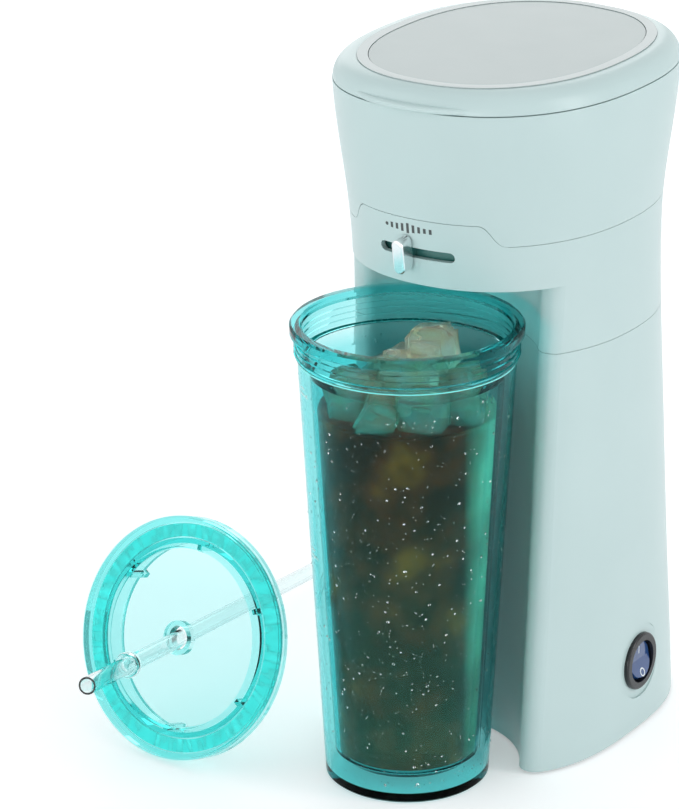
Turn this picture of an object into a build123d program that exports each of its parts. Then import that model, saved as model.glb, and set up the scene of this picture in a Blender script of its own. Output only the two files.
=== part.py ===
from build123d import *

import os
from functools import lru_cache
from math import asin, atan2, cos, degrees, pi, radians, sin

# An iced coffee maker: an oval column with a head that overhangs a bay, a double-walled tumbler
# that stands in the bay, and the tumbler's own lid and straw, taken off and leaning beside it.
# Millimetres. +Z is up, -Y is the front, and the origin is the middle of the base on the table.

# The housing's outline
HALF_WIDTH = 57.8  # half of the housing's width at its base
FRONT = -64.8  # where the base's oval would reach in front, were the bay not cut out of it
BACK = 68.0
BASE_Z = 1.0  # underside of the base plate; the feet reach down to the table
WALL = 2.4
NOSE_R = 6.0  # rounding of the two upright edges beside the bay
LOW_SEAM_Z = 165.8  # between the lower and the middle shell
HEAD_Z = 192.0  # underside of the head
HIGH_SEAM_Z = 209.6  # between the middle and the upper shell
LID_SEAM_Z = 260.1
LID_TOP_Z = 268.5
SEAM_GAP = 0.2
HEAD_STEP = 0.1  # how far the head stands out over the column under it
OVAL_POINTS = 24

# How the oval changes with height: height, then how far the side, the front and the back have
# drawn in from the base's oval, then the power of its superellipse (2 is an ellipse)
PROFILE = (
    (0.0, 0.0, 0.0, 0.0, 2.8),
    (60.0, 0.6, 0.0, 3.7, 2.6),
    (120.0, 1.4, 4.8, 6.6, 2.35),
    (LOW_SEAM_Z, 3.3, 4.8, 6.6, 2.25),
    (HEAD_Z, 4.0, 1.4, 5.0, 2.2),
    (HIGH_SEAM_Z, 3.9, -1.3, 3.5, 2.2),
    (235.0, 1.8, -4.2, 1.1, 2.3),
    (LID_SEAM_Z, 0.3, -7.5, -1.9, 2.35),
    (LID_TOP_Z + 10.0, 0.3, -7.5, -1.9, 2.35),
)

# The raised middle of the high seam, which climbs over the strength lever at the front
TONGUE_LOW_X = 33.0
TONGUE_TOP_X = 24.0
TONGUE_TOP_Z = 217.8

# The lip that each shell reaches up inside the next one
LIP = 1.5
LIP_RISE = 3.0
LIP_ROOT = 5.0
LIP_CLEARANCE = 0.3
LIP_FRONT_Y = -33.0  # the high seam's lip stops here, short of the strength lever

# The tumbler and the bay it stands in
TUMBLER_Y = -70.5
BAY_R_BASE = 40.0
BAY_R_TOP = 45.0
BAY_SHIFT_BASE = 5.0  # how far the bay's centre lies behind the tumbler's
BAY_SHIFT_TOP = 7.0
TUMBLER_HEIGHT = 180.0
TUMBLER_NECK = 13.8  # from the outer wall's top to the rim
TUMBLER_JOINT_Z = TUMBLER_HEIGHT - TUMBLER_NECK
TUMBLER_BASE_R = 30.9
TUMBLER_JOINT_R = 40.2
TUMBLER_RIM_R = 43.0
TUMBLER_MOUTH_R = 38.6
TUMBLER_RIM_TALL = 4.0
TUMBLER_WALL = 1.9
TUMBLER_FLOOR = 3.4
LINER_GAP = 2.2
LINER_WALL = 1.7
LINER_FLOOR_Z = 7.7
WELD = 0.4
NECK_WALL = 2.3
NECK_RIB = 0.6

# The tumbler's lid and straw, leaning in front and to the left
CAP_X = -82.4
CAP_Y = -103.6
CAP_R = 46.5
CAP_TALL = 6.5
CAP_LEAN = 19.0  # degrees from upright
CAP_HEADING = -2.9  # degrees its top face turns from straight ahead
CAP_SKIRT = 2.4
CAP_DISH_R = 33.9
CAP_DISH = 2.3
CAP_PLATE = 2.0
CAP_PLUG_DEPTH = 14.0
CAP_PLUG_WALL = 2.0
CAP_PLUG_CLEARANCE = 0.5
CAP_BOSS_R = 6.6
CAP_HOLE_R = 4.7
CAP_LUGS = 6
STRAW_R = 3.25
STRAW_WALL = 0.7
STRAW_FAR = 180.0  # from the lid's hole to the end on the table
STRAW_NEAR = 98.0
STRAW_COLLAR_AT = 57.0
STRAW_HEADING = 15.7  # degrees it turns left of straight back
COLLAR_R = 4.9

# The base plate, its feet and its screws
PLATE = 2.4
PLATE_CLEARANCE = 0.3
FOOT_R = 5.5
FOOT_POCKET = 0.8
FOOT_FRONT_Y = -34.0
FOOT_BACK_Y = 28.0
FOOT_IN = 12.0  # from the outline to a foot's centre
SCREW_R = 1.5
SCREW_HEAD_R = 3.0
SCREW_HEAD = 1.5
SCREW_LENGTH = 10.0
SCREW_CLEARANCE = 0.2
THREAD_CLEARANCE = 0.03
BOSS_R = 4.0
BOSS_TALL = 14.0
BOSS_BITE = 0.4  # how far a boss reaches into the wall
BOSS_FRONT_Y = -20.0
BOSS_BACK_Y = 40.0

# The gland in the back where a power cord would leave
GLAND_Z = 14.0
GLAND_R = 5.0
GLAND_BORE_R = 3.2
GLAND_FLANGE_R = 7.5
GLAND_FLANGE = 1.6
GLAND_SEAT = 0.8

# The rocker switch in the right side
SWITCH_Y = 7.5
SWITCH_Z = 28.0
DISH_R = 15.0
DISH = 1.2
BEZEL_R = 11.4
BEZEL_FLANGE = 1.8
SWITCH_R = 9.9
SWITCH_CLEARANCE = 0.1
SWITCH_DEPTH = 16.0
ROCKER_R = 8.3
ROCKER_CLEARANCE = 0.15
ROCKER_DEEP = 5.0  # from the bezel's face to the rocker's pivot
ROCKER_FACE = 3.2
ROCKER_TILT = 10.0  # degrees, each way from level
TRUNNION_R = 1.2
RUNNING = 0.06
TAB_WIDE = 4.8
TAB_TALL = 7.0
TAB_THICK = 0.8

# The strength lever and its curved shutter, which swing about an upright line
SLOT_Z = 204.6
SLOT_HALF = 15.8
SLOT_TALL = 4.0
LEVER_SWING_R = 53.0
LEVER_AT_X = -3.1
LEVER_WIDE = 4.9
LEVER_TALL = 13.5
LEVER_OUT = 6.5
LEVER_GAP = 0.6
STEM_WIDE = 3.4
STEM_TALL = 3.2
SHUTTER = 1.2
SHUTTER_TALL = 7.6
SHUTTER_BEHIND = 0.9
SHUTTER_ARC = 64.0  # degrees
TRACK_ARC = 100.0
TRACK = 1.4
TRACK_CLEARANCE = 0.3

# The brewing parts in the head
BREW_Y = -37.0
FUNNEL_R = 25.5
FUNNEL_WALL = 1.8
FUNNEL_FLOOR_Z = 211.0
OUTLET_Y = -50.3
SPOUT_R = 4.5
SPOUT_WALL = 1.3
SPOUT_END_Z = 190.4
NOZZLE_CLEARANCE = 0.2
NOZZLE_R = 6.2
NOZZLE_FLANGE_R = 8.5
NOZZLE_DROP = 2.6
BASKET_CLEARANCE = 0.8
BASKET_FRAME = 1.4
BASKET_FLOOR_R = 17.0
BASKET_RIBS = 6
GRIP_HALF = 5.0
MESH = 0.4
MESH_CLEARANCE = 0.1
RIM = 1.6
RIM_OUT = 3.0

# The deck under the lid and the water tub
DECK_Z = 250.0
DECK = 2.4
DECK_CLEARANCE = 0.3
LEDGE = 3.0
TUB_FRONT_Y = -4.0
TUB_FLOOR_Z = 132.0
TUB_IN = 6.4  # from the housing's outline to the tub's wall
TUB_WALL = 2.0
TUB_RIM_OUT = 2.0
DRAIN_Y = 30.0
DRAIN_R = 5.0
DRAIN_BORE_R = 3.0
DRAIN_TALL = 6.0

# The water path
VALVE_R = 7.0
VALVE_TALL = 14.0
HOSE_R = 4.5
HOSE_BORE_R = 3.0
HEATER_Z = 17.0
HEATER_R = 5.5
HEATER_BEND_R = 22.0
HEATER_BEND_Y = 15.0
HEATER_END_Y = 44.0
HOSE_BACK_Y = 54.5
HOSE_BEND_R = 7.5
RISER_X = -38.0
RISER_Y = -14.0
RISER_TOP_Z = 246.0
PORT_R = 4.0
PORT_TOP_Z = 258.0
PORT_FLANGE_R = 7.0
CARRIER = 2.0
CARRIER_FRONT_Y = -12.0
CARRIER_BACK_Y = 40.0
STANDOFF_R = 4.0
THERMOSTAT_R = 8.0
THERMOSTAT_TALL = 6.0
FUSE_R = 2.0
FUSE_LONG = 16.0

# The lid and its hinge
LID_IN = 0.2
LID_SHOULDER_R = 7.8
SHOULDER_STEPS = 4
LID_WALL = 3.0
LID_GAP = 0.4
PANEL_HALF = 44.6
PANEL_FRONT = -61.3
PANEL_BACK = 59.0
PANEL_POWER = 2.29
PANEL_LINE = 0.25
RING_WIDE = 4.0
RING_PROUD = 0.2
POCKET = 2.2
SEAL = 2.0
SEAL_TALL = 2.6
SEAL_CLEARANCE = 0.05
LIFT_HALF = 23.4  # half the width of the finger lip
LIFT_OUT = 3.0  # how far its middle stands out
LIFT_TALL = 2.3
LIFT_ROUND = 0.9
HINGE_Y = 69.0
HINGE_Z = 256.5
PIN_R = 1.5
KNUCKLE_R = 3.1
KNUCKLE_HALF = 11.5
EAR_GAP = 0.5
EAR_WIDE = 5.0
NOTCH_Z = 250.5
SHOWER_R = 17.0
SHOWER_LOW_Z = 257.0
SHOWER_TALL = 5.0
SHOWER_HOLES = 10
SHOWER_HOLE_R = 0.9
ARM_WIDE = 10.0

FAR = 300.0  # longer than anything in the model


# Helpers that more than one piece uses


def slab(low, high):
    """Everything between two heights."""
    return Pos(0, 0, (low + high) / 2) * Box(FAR, 2 * FAR, high - low)


def block(x, y, z):
    """A box between two corners, each axis given as (low, high)."""
    centre = [(axis[0] + axis[1]) / 2 for axis in (x, y, z)]
    size = [axis[1] - axis[0] for axis in (x, y, z)]
    return Pos(*centre) * Box(*size)


def behind(y):
    """Everything behind a plane."""
    return block((-FAR, FAR), (y, FAR), (0, FAR))


def post(x, y, low, high, radius):
    """An upright round post."""
    return Pos(x, y, (low + high) / 2) * Cylinder(radius, high - low)


def rod(point, direction, radius, length):
    """A round bar that starts at a point and runs along a direction."""
    return extrude(Plane(origin=point, z_dir=direction) * Circle(radius), length)


def turned(points, y=0.0):
    """A solid turned about an upright line through (0, y) from an outline of (radius, height)."""
    outline = make_face(Plane.XZ * Polyline(*points, close=True))
    return Pos(0, y, 0) * revolve(outline, Axis.Z)


def superellipse(turn, half, front, back, power):
    """A point of an oval, at an angle turned from its back."""
    across, along = -sin(turn), cos(turn)
    deep = (back - front) / 2
    reach = (abs(across / half) ** power + abs(along / deep) ** power) ** (-1 / power)
    return Vector(reach * across, (front + back) / 2 + reach * along)


def heading(turn, edges):
    """The direction that the oval runs in at a turn."""
    step = 1e-4
    return (superellipse(turn + step, *edges) - superellipse(turn - step, *edges)).normalized()


def even_spline(points, **ends):
    """A spline whose points lie at even steps, so that the rows of a loft match one another."""
    count = len(points) - (0 if ends.get("periodic") else 1)
    return Edge.make_spline(points, parameters=[step / count for step in range(count + 1)], **ends)


def drawn_in(half, front, back, power, inset):
    return half - inset, front + inset, back - inset, power


def oval(z, half, front, back, power, inset=0.0):
    """A level oval face, drawn in by inset."""
    turns = [2 * pi * step / OVAL_POINTS for step in range(OVAL_POINTS)]
    edges = drawn_in(half, front, back, power, inset)
    points = [superellipse(turn, *edges) + Vector(0, 0, z) for turn in turns]
    return Face(Wire([even_spline(points, periodic=True)]))


def row_edges(row):
    """The half width, front, back and power of a row of the profile."""
    height, side_in, front_in, back_in, power = row
    return HALF_WIDTH - side_in, FRONT + front_in, BACK - back_in, power


def edges_at(z):
    """The outline's half width, front, back and power at a height."""
    for low, high in zip(PROFILE, PROFILE[1:]):
        if z <= high[0]:
            share = (z - low[0]) / (high[0] - low[0])
            pairs = zip(row_edges(low), row_edges(high))
            return [a + share * (b - a) for a, b in pairs]
    return list(row_edges(PROFILE[-1]))


def side_x(y, z):
    """Half the housing's width at a place along it."""
    half, front, back, power = edges_at(z)
    share = abs(y - (front + back) / 2) / ((back - front) / 2)
    return half * (1 - share**power) ** (1 / power)


def notched(row, inset):
    """A level face of the column: the oval, less the bay, with both noses rounded."""
    z, *outline = row
    edges = drawn_in(*outline, inset)
    share = z / HEAD_Z
    bay_r = BAY_R_BASE + share * (BAY_R_TOP - BAY_R_BASE) + inset
    bay = Vector(0, TUMBLER_Y + BAY_SHIFT_BASE + share * (BAY_SHIFT_TOP - BAY_SHIFT_BASE))
    nose_r = NOSE_R - inset

    def nose(turn):
        """The centre of a nose's rounding that touches the oval at a turn."""
        along = heading(turn, edges)
        return superellipse(turn, *edges) + Vector(-along.Y, along.X) * nose_r

    # Halve the range of turns until the rounding touches the bay as well
    low, high = pi / 2, pi
    while high - low > 1e-9:
        middle = (low + high) / 2
        if (nose(middle) - bay).length > bay_r + nose_r:
            low = middle
        else:
            high = middle
    turns = [low * (2 * step / OVAL_POINTS - 1) for step in range(OVAL_POINTS + 1)]
    points = [superellipse(turn, *edges) for turn in turns]
    centre = nose(low)
    at_bay = bay + (centre - bay).normalized() * bay_r
    tip = centre + ((points[-1] - centre) + (at_bay - centre)).normalized() * nose_r
    start, start_tip, start_bay = [Vector(-point.X, point.Y) for point in (points[-1], tip, at_bay)]
    wire = Wire([
        even_spline(points, tangents=[heading(-low, edges), heading(low, edges)]),
        Edge.make_three_point_arc(points[-1], tip, at_bay),
        Edge.make_three_point_arc(at_bay, bay + Vector(0, bay_r), start_bay),
        Edge.make_three_point_arc(start_bay, start_tip, start),
    ])
    return Pos(0, 0, z) * Face(wire)


def rows(low, high):
    """The profile's rows between two heights."""
    return [(row[0], *row_edges(row)) for row in PROFILE if low <= row[0] <= high]


@lru_cache(maxsize=None)
def column(inset):
    """The housing's column with the bay cut into it, as one solid drawn in by inset."""
    return loft([notched(row, inset + HEAD_STEP) for row in rows(0, HIGH_SEAM_Z)])


@lru_cache(maxsize=None)
def head(inset):
    """The overhanging head, as one solid drawn in by inset."""
    return loft([oval(*row, inset) for row in rows(LOW_SEAM_Z, FAR)])


def tongue(grow):
    """The raised middle of the high seam, as a prism through the front wall."""
    low, top = HIGH_SEAM_Z, TONGUE_TOP_Z + grow
    wide, narrow = TONGUE_LOW_X + grow, TONGUE_TOP_X + grow
    middle = (wide + narrow) / 2
    y = -FAR / 4
    under = low - 2 * WALL

    def curve(side):
        return Bezier(
            (side * wide, y, low), (side * middle, y, low),
            (side * middle, y, top), (side * narrow, y, top),
        )

    right, left = curve(1), curve(-1)
    sides = [
        Line(right @ 1, left @ 1),
        Line(left @ 0, (-wide, y, under)),
        Line((-wide, y, under), (wide, y, under)),
        Line((wide, y, under), right @ 0),
    ]
    face = Face(Wire([right, left, *sides]))
    return extrude(face, FAR / 8, dir=(0, 1, 0)) + extrude(face, FAR / 8, dir=(0, -1, 0))


# The housing


def base_bosses():
    """Where the base screws go, as (x, y)."""
    places = []
    for y in (BOSS_FRONT_Y, BOSS_BACK_Y):
        x = side_x(y, BOSS_TALL) - WALL - BOSS_R + BOSS_BITE
        places += [(-x, y), (x, y)]
    return places


def foot_places():
    places = []
    for y in (FOOT_FRONT_Y, FOOT_BACK_Y):
        x = side_x(y, BASE_Z) - FOOT_IN
        places += [(-x, y), (x, y)]
    return places


def switch_face_x():
    """The flat seat of the switch, at the bottom of its dish."""
    return side_x(SWITCH_Y, SWITCH_Z) - DISH


def back_y(z):
    return edges_at(z)[2]


def lower_shell():
    seam = LOW_SEAM_Z - SEAM_GAP / 2
    lip_in = WALL + LIP_CLEARANCE
    lip_top = LOW_SEAM_Z + LIP_RISE
    shell = column(0.0) & slab(BASE_Z, seam)
    shell += column(lip_in) & slab(seam - 1, lip_top)
    shell -= column(WALL) & slab(0, seam - LIP_ROOT)
    shell -= column(lip_in + LIP) & slab(seam - LIP_ROOT - 1, lip_top + 1)
    plate_top = BASE_Z + PLATE
    seat = switch_face_x()
    across = (1, 0, 0)
    pad = rod((seat - WALL, SWITCH_Y, SWITCH_Z), across, DISH_R + WALL, WALL) & column(WALL / 2)
    shell += [pad] + [post(x, y, plate_top, plate_top + BOSS_TALL, BOSS_R) for x, y in base_bosses()]
    thread = SCREW_R + THREAD_CLEARANCE
    holes = [post(x, y, plate_top - 1, plate_top + SCREW_LENGTH, thread) for x, y in base_bosses()]
    holes.append(rod((seat, SWITCH_Y, SWITCH_Z), across, DISH_R, WALL + DISH))
    bore = SWITCH_R + SWITCH_CLEARANCE
    holes.append(rod((seat - 3 * WALL, SWITCH_Y, SWITCH_Z), across, bore, 4 * WALL))
    out = back_y(GLAND_Z)
    holes.append(rod((0, out - 3 * WALL, GLAND_Z), (0, 1, 0), GLAND_R, 4 * WALL))
    recess = GLAND_FLANGE_R + SWITCH_CLEARANCE
    holes.append(rod((0, out - GLAND_SEAT, GLAND_Z), (0, 1, 0), recess, WALL))
    return shell - holes


def middle_shell():
    low, high = LOW_SEAM_Z + SEAM_GAP / 2, HIGH_SEAM_Z - SEAM_GAP / 2
    floor = HEAD_Z + WALL
    root = high - LIP_ROOT
    lip_in = WALL + LIP_CLEARANCE
    back = behind(LIP_FRONT_Y)
    shell = column(0.0) & slab(low, HEAD_Z)
    shell += (head(0.0) & slab(HEAD_Z, high)) + (head(0.0) & tongue(0.0) & slab(high - 1, FAR))
    shell += head(lip_in) & slab(high - 1, HIGH_SEAM_Z + LIP_RISE) & back
    shell -= column(WALL) & slab(0, floor + 1)
    shell -= head(WALL) & slab(floor, root)
    shell -= (head(WALL) & slab(root - 1, FAR)) - back
    shell -= head(lip_in + LIP) & slab(root - 1, FAR)
    slot = Pos(0, FRONT, SLOT_Z) * Rot(90, 0, 0) * extrude(
        SlotOverall(2 * SLOT_HALF, SLOT_TALL), 5 * WALL, both=True
    )
    return shell - [slot, post(0, OUTLET_Y, HEAD_Z - 1, floor + 1, NOZZLE_R)]


def upper_shell():
    low = HIGH_SEAM_Z + SEAM_GAP / 2
    shell = (head(0.0) & slab(low, LID_SEAM_Z)) - tongue(SEAM_GAP)
    shell -= head(WALL) & slab(low - 1, DECK_Z - DECK)
    shell -= head(WALL + LEDGE) & slab(DECK_Z - DECK - 1, DECK_Z + 1)
    shell -= head(WALL) & slab(DECK_Z, FAR)
    notch_half = KNUCKLE_HALF + EAR_GAP + EAR_WIDE
    shell -= block((-notch_half, notch_half), (HINGE_Y - 4 * WALL, FAR), (NOTCH_Z, FAR))
    shell += [hinge_ear(-1), hinge_ear(1)]
    return shell - rod((-notch_half, HINGE_Y, HINGE_Z), (1, 0, 0), PIN_R, 2 * notch_half)


def hinge_ear(side):
    """One of the two ears that carry the lid's pin."""
    inner = KNUCKLE_HALF + EAR_GAP
    start = inner if side > 0 else -inner - EAR_WIDE
    foot_z = NOTCH_Z - 2 * WALL
    outline = Polyline(
        (start, HINGE_Y - KNUCKLE_R, foot_z),
        (start, HINGE_Y + WALL / 2, foot_z),
        (start, HINGE_Y + KNUCKLE_R, NOTCH_Z),
        (start, HINGE_Y + KNUCKLE_R, HINGE_Z),
        (start, HINGE_Y - KNUCKLE_R, HINGE_Z),
        close=True,
    )
    ear = extrude(Face(Wire(outline.edges())), EAR_WIDE, dir=(1, 0, 0))
    return ear + rod((start, HINGE_Y, HINGE_Z), (1, 0, 0), KNUCKLE_R, EAR_WIDE)


def top_oval(z, inset):
    """The housing's oval at the lid's seam, at any height."""
    return oval(z, *edges_at(LID_SEAM_Z), inset)


def base_plate():
    plate = column(WALL + PLATE_CLEARANCE) & slab(BASE_Z, BASE_Z + PLATE)
    for x, y in base_bosses():
        plate -= post(x, y, 0, FAR, SCREW_R + SCREW_CLEARANCE)
        plate -= post(x, y, 0, BASE_Z + SCREW_HEAD, SCREW_HEAD_R + SCREW_CLEARANCE)
    for x, y in foot_places():
        plate -= post(x, y, 0, BASE_Z + FOOT_POCKET, FOOT_R)
    return plate


def rubber_feet():
    return [post(x, y, 0, BASE_Z + FOOT_POCKET, FOOT_R) for x, y in foot_places()]


def base_screws():
    screws = []
    for x, y in base_bosses():
        head_top = BASE_Z + SCREW_HEAD
        screw = post(x, y, BASE_Z + 0.3, head_top, SCREW_HEAD_R)
        screws.append(screw + post(x, y, head_top, BASE_Z + PLATE + SCREW_LENGTH - 1, SCREW_R))
    return screws


def cord_gland():
    seat = back_y(GLAND_Z) - GLAND_SEAT
    back = (0, 1, 0)
    gland = rod((0, seat, GLAND_Z), back, GLAND_FLANGE_R, GLAND_FLANGE)
    gland += rod((0, seat - 3 * WALL, GLAND_Z), back, GLAND_R, 3 * WALL)
    return gland - rod((0, seat - 4 * WALL, GLAND_Z), back, GLAND_BORE_R, FAR)


# The switch


def pivot_x():
    return switch_face_x() + BEZEL_FLANGE - ROCKER_DEEP


def switch_bezel():
    seat = switch_face_x()
    across = (1, 0, 0)
    bezel = rod((seat, SWITCH_Y, SWITCH_Z), across, BEZEL_R, BEZEL_FLANGE)
    bezel = fillet(bezel.faces().sort_by(Axis.X)[-1].edges(), BEZEL_FLANGE / 2)
    bezel += rod((seat - SWITCH_DEPTH, SWITCH_Y, SWITCH_Z), across, SWITCH_R, SWITCH_DEPTH)
    bore = ROCKER_R + ROCKER_CLEARANCE
    bezel -= rod((seat - SWITCH_DEPTH + WALL, SWITCH_Y, SWITCH_Z), across, bore, FAR)
    hole_half = SWITCH_R - RUNNING
    return bezel - rod(
        (pivot_x(), SWITCH_Y - hole_half, SWITCH_Z), (0, 1, 0), TRUNNION_R + RUNNING, 2 * hole_half
    )


def rocker():
    """The tilting button: part of a ball, so it turns inside its round bezel without touching."""
    centre = Pos(pivot_x(), SWITCH_Y, SWITCH_Z)
    beyond = ROCKER_R + 1
    rise = beyond * sin(radians(ROCKER_TILT)) / cos(radians(ROCKER_TILT))
    face = ROCKER_FACE
    outline = Plane.XZ * Polyline(
        (-face, -beyond), (face + rise, -beyond), (face, 0), (face + rise, beyond), (-face, beyond), close=True
    )
    body = Sphere(ROCKER_R) & extrude(make_face(outline), beyond, both=True)
    trunnion_half = SWITCH_R - 2 * RUNNING
    body += rod((0, -trunnion_half, 0), (0, 1, 0), TRUNNION_R, 2 * trunnion_half)
    return centre * Rot(0, -ROCKER_TILT, 0) * body


def switch_terminals():
    """Three flat tabs out of the switch's back."""
    low = switch_face_x() - SWITCH_DEPTH - TAB_TALL
    tabs = []
    for step in (-1, 0, 1):
        z = SWITCH_Z + step * TAB_WIDE
        half = TAB_WIDE / 2
        tab_y = (SWITCH_Y - half, SWITCH_Y + half)
        tabs.append(block((low, low + TAB_TALL), tab_y, (z - TAB_THICK / 2, z + TAB_THICK / 2)))
    return tabs


# The strength lever


def swing_y():
    """The upright line that the lever swings about."""
    return edges_at(SLOT_Z)[1] + LEVER_SWING_R


def arc_bar(radius_in, radius_out, low, high, arc, middle=0.0):
    """A curved bar about the lever's line, its middle turned from the front by middle degrees."""
    start = -90 - arc / 2 + middle
    face = Plane.XZ * Pos((radius_in + radius_out) / 2, (low + high) / 2) * Rectangle(
        radius_out - radius_in, high - low
    )
    return Pos(0, swing_y(), 0) * Rot(0, 0, start) * revolve(face, Axis.Z, revolution_arc=arc)


def lever_turn():
    return degrees(asin(LEVER_AT_X / LEVER_SWING_R))


def front_lean():
    """How far the housing's front leans out beside the lever, in degrees."""
    low, top = SLOT_Z - LEVER_TALL / 2, SLOT_Z + LEVER_TALL / 2
    return degrees(atan2(edges_at(low)[1] - edges_at(top)[1], LEVER_TALL))


def shutter_r():
    return LEVER_SWING_R - WALL - SHUTTER_BEHIND


def strength_slider():
    """The curved shutter behind the slot, with the stem that comes out of it."""
    low = SLOT_Z - SHUTTER_TALL / 2
    outer = shutter_r()
    bar = arc_bar(outer - SHUTTER, outer, low, low + SHUTTER_TALL, SHUTTER_ARC, lever_turn())
    reach = LEVER_SWING_R + LEVER_GAP + LEVER_OUT / 2
    half_wide, half_tall = STEM_WIDE / 2, STEM_TALL / 2
    stem = block(
        (-half_wide, half_wide), (-reach, -outer + SHUTTER / 2), (SLOT_Z - half_tall, SLOT_Z + half_tall)
    )
    return bar + Pos(0, swing_y(), 0) * Rot(0, 0, lever_turn()) * stem


def strength_lever():
    """The upright grip pushed onto the stem."""
    grip = extrude(SlotOverall(LEVER_TALL, LEVER_WIDE, rotation=90), LEVER_OUT - LEVER_GAP)
    grip = fillet(grip.faces().sort_by(Axis.Z)[-1].edges(), LEVER_WIDE / 6)
    grip = Rot(90 + front_lean(), 0, 0) * grip
    start = LEVER_SWING_R + LEVER_GAP
    half_wide, half_tall = STEM_WIDE / 2, STEM_TALL / 2
    grip = Pos(0, -start, SLOT_Z) * grip
    grip -= block(
        (-half_wide, half_wide), (-start - LEVER_OUT / 2, 0), (SLOT_Z - half_tall, SLOT_Z + half_tall)
    )
    return Pos(0, swing_y(), 0) * Rot(0, 0, lever_turn()) * grip


def slider_track():
    """The curved rail on the head's floor that the shutter runs in."""
    outer = shutter_r()
    wall_out = outer - SHUTTER - TRACK_CLEARANCE
    shelf_z = SLOT_Z - SHUTTER_TALL / 2 - TRACK_CLEARANCE
    top = SLOT_Z + SHUTTER_TALL / 2
    rail = arc_bar(wall_out - TRACK, outer, HEAD_Z + WALL, shelf_z, TRACK_ARC)
    rail += arc_bar(wall_out - TRACK, wall_out, HEAD_Z + WALL, top, TRACK_ARC)
    return rail & head(WALL + TRACK_CLEARANCE)


# The brewing parts


def rim_z():
    """The deck's top, where the funnel's and the tub's rims rest."""
    return DECK_Z + DECK


def brew_funnel():
    rim = rim_z()
    inner = FUNNEL_R - FUNNEL_WALL
    cup = turned(
        [
            (0, FUNNEL_FLOOR_Z), (FUNNEL_R, FUNNEL_FLOOR_Z), (FUNNEL_R, rim),
            (FUNNEL_R + RIM_OUT, rim), (FUNNEL_R + RIM_OUT, rim + RIM), (inner, rim + RIM),
            (inner, FUNNEL_FLOOR_Z + FUNNEL_WALL), (0, FUNNEL_FLOOR_Z + FUNNEL_WALL),
        ],
        BREW_Y,
    )
    cup += post(0, OUTLET_Y, SPOUT_END_Z, FUNNEL_FLOOR_Z + FUNNEL_WALL, SPOUT_R)
    return cup - post(0, OUTLET_Y, 0, FUNNEL_FLOOR_Z + 2 * FUNNEL_WALL, SPOUT_R - SPOUT_WALL)


def outlet_nozzle():
    """The collar under the head that the coffee runs out of."""
    bore = SPOUT_R + NOZZLE_CLEARANCE
    low = HEAD_Z - NOZZLE_DROP
    return turned(
        [
            (bore, low), (NOZZLE_R, low), (NOZZLE_FLANGE_R, HEAD_Z - RIM / 2), (NOZZLE_FLANGE_R, HEAD_Z),
            (NOZZLE_R, HEAD_Z), (NOZZLE_R, HEAD_Z + 2 * WALL), (bore, HEAD_Z + 2 * WALL),
        ],
        OUTLET_Y,
    )


def basket_radii():
    """The basket's outer radius at its floor and at its rim."""
    return BASKET_FLOOR_R, FUNNEL_R - FUNNEL_WALL - BASKET_CLEARANCE


def filter_basket():
    """The lift-out frame of the filter: two rings, upright ribs and a pair of grips."""
    low_r, high_r = basket_radii()
    low = FUNNEL_FLOOR_Z + 3 * FUNNEL_WALL
    rim = rim_z() + RIM
    frame = turned(
        [
            (0, low), (low_r, low), (high_r, rim), (FUNNEL_R, rim), (FUNNEL_R, rim + RIM),
            (high_r - BASKET_FRAME, rim + RIM), (low_r - BASKET_FRAME, low + BASKET_FRAME),
            (0, low + BASKET_FRAME),
        ],
        BREW_Y,
    )
    window_low, window_high = low + 2 * RIM, rim - 2 * RIM
    gap = 360 / BASKET_RIBS
    for step in range(BASKET_RIBS):
        wedge = Pos(0, 0, window_low) * Rot(0, 0, step * gap) * extrude(
            make_face(Polyline((0, 0), (FUNNEL_R, -FUNNEL_R / 2.2), (FUNNEL_R, FUNNEL_R / 2.2), close=True)),
            window_high - window_low,
        )
        frame -= Pos(0, BREW_Y, 0) * (wedge - Cylinder(low_r - 4 * BASKET_FRAME, 4 * FAR))
    for side in (-1, 1):
        middle = side * (high_r + RIM / 2)
        frame += block((middle - RIM, middle + RIM), (BREW_Y - GRIP_HALF, BREW_Y + GRIP_HALF), (rim, rim + 2 * RIM))
    return frame - post(0, BREW_Y, low - 1, low + 2 * BASKET_FRAME, low_r - 4 * BASKET_FRAME)


def filter_mesh():
    """The fine mesh cup that lines the basket, as a thin skin."""
    low_r, high_r = basket_radii()
    gap = BASKET_FRAME + MESH_CLEARANCE
    low = FUNNEL_FLOOR_Z + 3 * FUNNEL_WALL + gap
    top = rim_z() + 2 * RIM + MESH_CLEARANCE
    return turned(
        [
            (0, low), (low_r - gap, low), (high_r - gap, top), (high_r - gap - MESH, top),
            (low_r - gap - MESH, low + MESH), (0, low + MESH),
        ],
        BREW_Y,
    )


# The deck, the tub and the water path


def tub_outline(z, grow):
    """The tub's level outline: the head's narrowest oval, cut off straight in front."""
    face = oval(z, *edges_at(HEAD_Z), TUB_IN - grow)
    return face & (Pos(0, TUB_FRONT_Y - grow + FAR / 2, z) * Rectangle(FAR, FAR))


def top_deck():
    deck = head(WALL + DECK_CLEARANCE) & slab(DECK_Z, rim_z())
    deck -= post(0, BREW_Y, DECK_Z - 1, rim_z() + 1, FUNNEL_R + DECK_CLEARANCE)
    deck -= extrude(tub_outline(DECK_Z - 1, DECK_CLEARANCE), DECK + 2)
    return deck - post(RISER_X, RISER_Y, DECK_Z - 1, rim_z() + 1, HOSE_R + DECK_CLEARANCE)


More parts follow.
